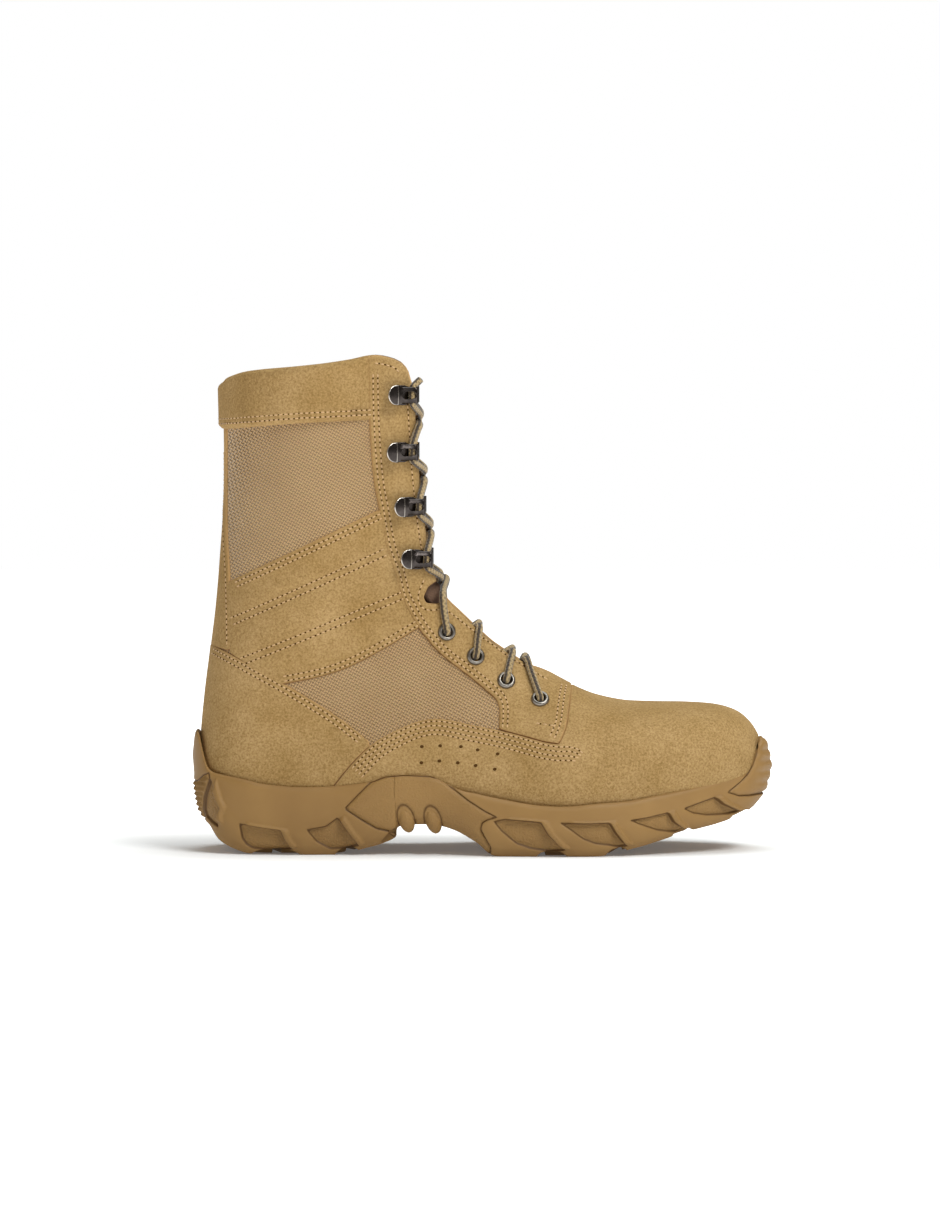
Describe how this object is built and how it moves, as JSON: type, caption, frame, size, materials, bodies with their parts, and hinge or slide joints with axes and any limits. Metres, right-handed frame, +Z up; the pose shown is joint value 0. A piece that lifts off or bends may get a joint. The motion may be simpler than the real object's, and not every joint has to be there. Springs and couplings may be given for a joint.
{
  "type": "lace-up boot",
  "caption": "Right-foot lace-up boot: hollow suede and nylon upper open at collar and throat, eyelets and hooks, on a moulded lug sole. A foot goes in at the collar.",
  "frame": {"origin": "middle of the boot's box, on the floor under the sole", "axes": "+X to the toe, -Y to the outer side of the foot, +Z up"},
  "size_m": [0.308, 0.1117, 0.2633],
  "materials": {
    "rubber": "moulded, matt, sand brown",
    "suede": "napped split leather, tan",
    "nylon": "coarse plain weave, tan",
    "lining": "knitted lining, brown",
    "metal": "antique nickel and gunmetal",
    "cord": "round braid, olive tan and brown"
  },
  "bodies": {
    "root": {"outsole": "rubber", "insole": "lining", "upper": "nylon", "tongue": "nylon", "vamp": "suede", "heel_counter": "suede", "eyestay": "suede", "ankle_band_lateral": "suede", "ankle_band_medial": "suede", "collar_cuff": "suede", "backstay": "suede", "eyelet_lateral_1": "metal", "eyelet_lateral_2": "metal", "eyelet_lateral_3": "metal", "eyelet_lateral_4": "metal", "eyelet_medial_1": "metal", "eyelet_medial_2": "metal", "eyelet_medial_3": "metal", "eyelet_medial_4": "metal", "hook_lateral_1": "metal", "hook_lateral_2": "metal", "hook_lateral_3": "metal", "hook_lateral_4": "metal", "hook_medial_1": "metal", "hook_medial_2": "metal", "hook_medial_3": "metal", "hook_medial_4": "metal", "lace_bar": "cord", "lace_cross_1": "cord", "lace_cross_2": "cord", "lace_cross_3": "cord", "lace_cross_4": "cord", "lace_cross_5": "cord", "lace_cross_6": "cord", "lace_cross_7": "cord"}
  },
  "joints": []
}
